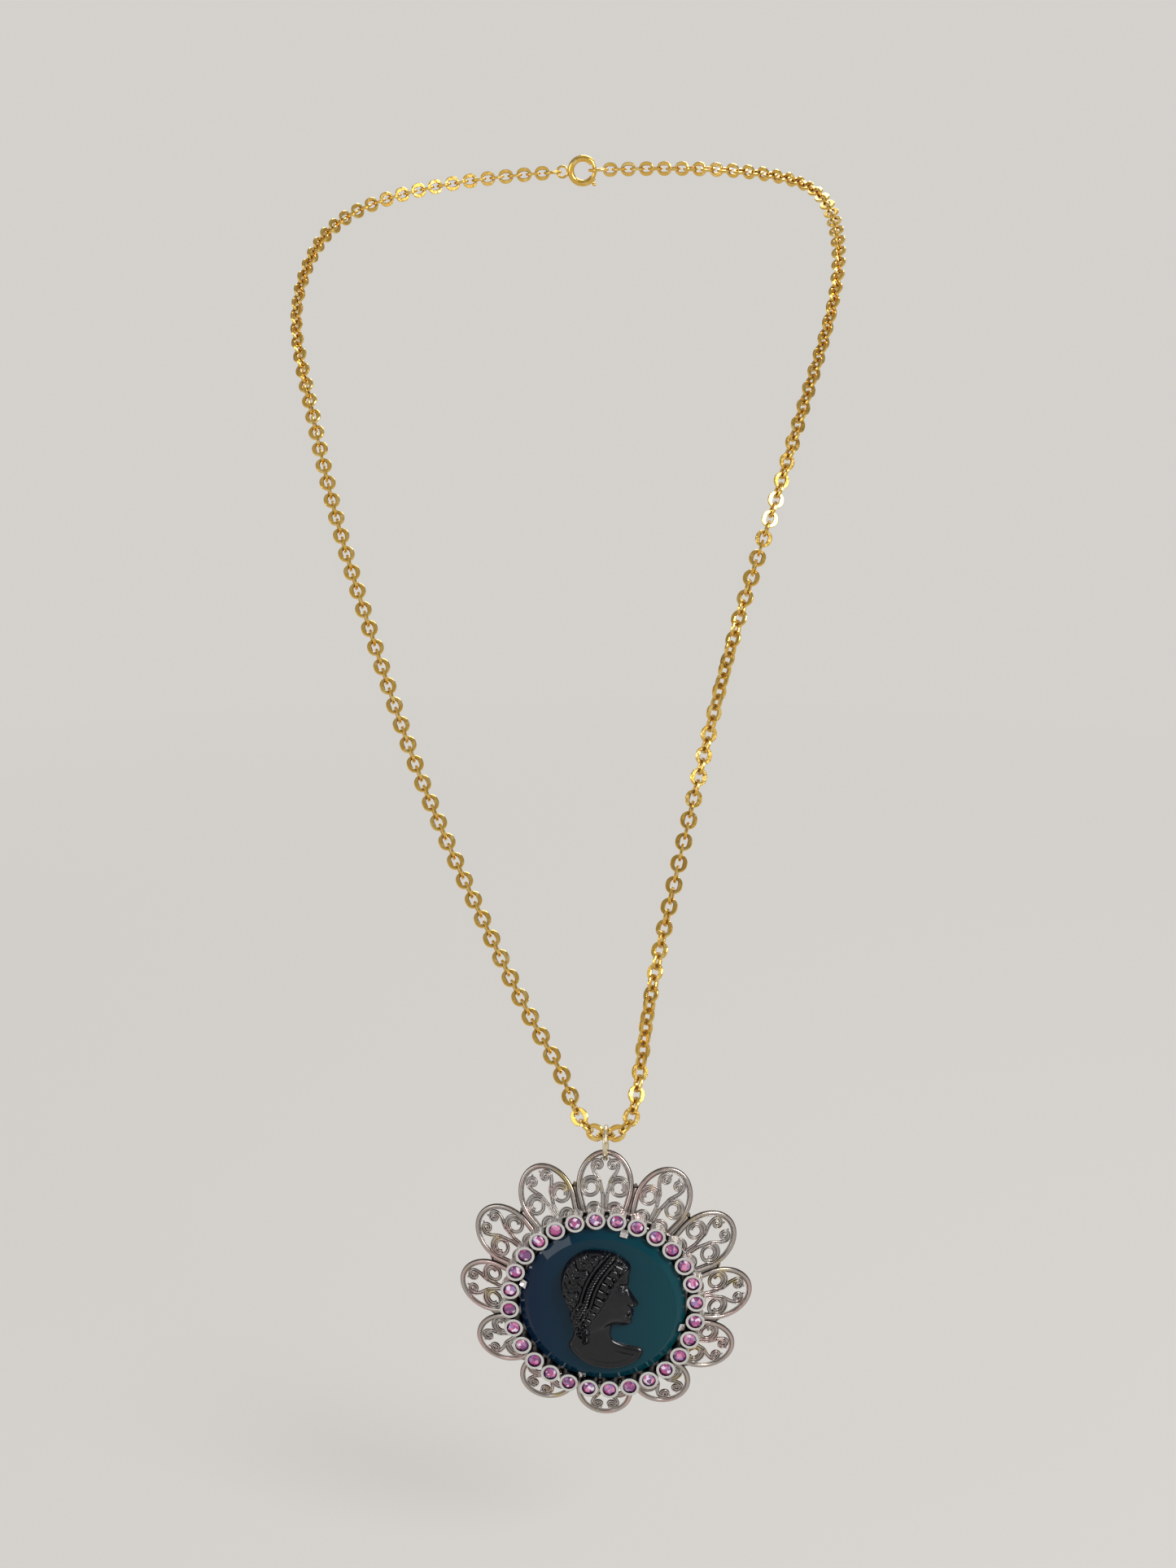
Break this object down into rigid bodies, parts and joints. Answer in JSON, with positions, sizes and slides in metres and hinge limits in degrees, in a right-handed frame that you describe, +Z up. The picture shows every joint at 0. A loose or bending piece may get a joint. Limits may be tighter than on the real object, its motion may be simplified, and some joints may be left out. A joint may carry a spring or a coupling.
{
  "type": "pendant necklace",
  "caption": "Flat cable chain necklace with a spring-ring clasp and a round filigree flower pendant: stone-set cup ring around a glass plate with a carved head.",
  "frame": {"origin": "middle of the neck opening, in the plane of the chain's loop at the sides of the neck", "axes": "+Z up, along the wearer's neck; the wearer faces -Y and the pendant hangs in front; +X to the viewer's right"},
  "size_m": [0.1163, 0.1732, 0.2264],
  "materials": {
    "gold_plate": "polished",
    "antique_silver": "satin",
    "bright_silver": "polished",
    "ring_brass": "polished",
    "teal_glass": "polished",
    "black_glass": "satin",
    "pink_glass": "polished",
    "spring_steel": "satin"
  },
  "bodies": {
    "neck": {"shoulder_links_right": "gold_plate", "shoulder_links_left": "gold_plate"},
    "nape": {"nape_links_right": "gold_plate", "nape_links_left": "gold_plate", "left_end_ring": "gold_plate", "right_end_ring": "gold_plate"},
    "clasp": {"clasp_case": "gold_plate", "clasp_spring": "spring_steel"},
    "bolt": {"clasp_bolt": "gold_plate"},
    "chest_1": {"chest_1_links_right": "gold_plate", "chest_1_links_left": "gold_plate"},
    "chest_2": {"chest_2_links_right": "gold_plate", "chest_2_links_left": "gold_plate"},
    "chest_3": {"chest_3_links_right": "gold_plate", "chest_3_links_left": "gold_plate"},
    "chest_4": {"chest_4_links_right": "gold_plate", "chest_4_links_left": "gold_plate", "centre_link": "gold_plate"},
    "jump_ring": {"hang_ring": "ring_brass"},
    "pendant": {"glass_plate": "teal_glass", "cameo_relief": "black_glass", "gallery_plate": "bright_silver", "stone_cups": "bright_silver", "rhinestones": "pink_glass", "cup_bars": "bright_silver", "petal_hub": "antique_silver", "petal_01": "antique_silver", "petal_02": "antique_silver", "petal_03": "antique_silver", "petal_04": "antique_silver", "petal_05": "antique_silver", "petal_06": "antique_silver", "petal_07": "antique_silver", "petal_08": "antique_silver", "petal_09": "antique_silver", "petal_10": "antique_silver", "petal_11": "antique_silver", "petal_12": "antique_silver"}
  },
  "joints": [
    {"name": "drape_1", "type": "hinge", "parent": "neck", "child": "chest_1", "pos_m": [-0.0003, -0.0092, -0.00458], "axis": [-0.994, 0.0186, -0.1079], "range_deg": [0, 20]},
    {"name": "drape_2", "type": "hinge", "parent": "chest_1", "child": "chest_2", "pos_m": [0.00121, -0.04074, -0.03628], "axis": [-0.99, 0.0349, -0.1368], "range_deg": [0, 20]},
    {"name": "drape_3", "type": "hinge", "parent": "chest_2", "child": "chest_3", "pos_m": [0.00315, -0.06444, -0.07338], "axis": [-0.9863, 0.032, -0.1619], "range_deg": [0, 20]},
    {"name": "drape_4", "type": "hinge", "parent": "chest_3", "child": "chest_4", "pos_m": [0.00809, -0.08546, -0.11144], "axis": [-0.9894, -0.0281, -0.1424], "range_deg": [0, 20]},
    {"name": "ring_sway", "type": "hinge", "parent": "chest_4", "child": "jump_ring", "pos_m": [0.015, -0.10946, -0.14405], "axis": [0, 1, 0], "range_deg": [-25, 25]},
    {"name": "pendant_swing", "type": "hinge", "parent": "jump_ring", "child": "pendant", "pos_m": [0.015, -0.10946, -0.1486], "axis": [-1, 0, 0], "range_deg": [0, 45]},
    {"name": "nape_lift", "type": "hinge", "parent": "neck", "child": "nape", "pos_m": [-0.0007, 0.02978, 0.01601], "axis": [0.9978, 0.0109, 0.0653], "range_deg": [0, 30]},
    {"name": "clasp_roll", "type": "hinge", "parent": "nape", "child": "clasp", "pos_m": [-0.00056, 0.04993, 0.02096], "axis": [0.9976, 0.0433, 0.0536], "range_deg": [-30, 30]},
    {"name": "clasp_trigger", "type": "hinge", "parent": "clasp", "child": "bolt", "pos_m": [-0.00056, 0.04993, 0.02096], "axis": [-0.0432, 0.9991, -0.0023], "range_deg": [0, 50], "stiffness_Nm_per_rad": 0.0032, "springref_deg": -8.59, "deforming": ["clasp_spring"]}
  ]
}
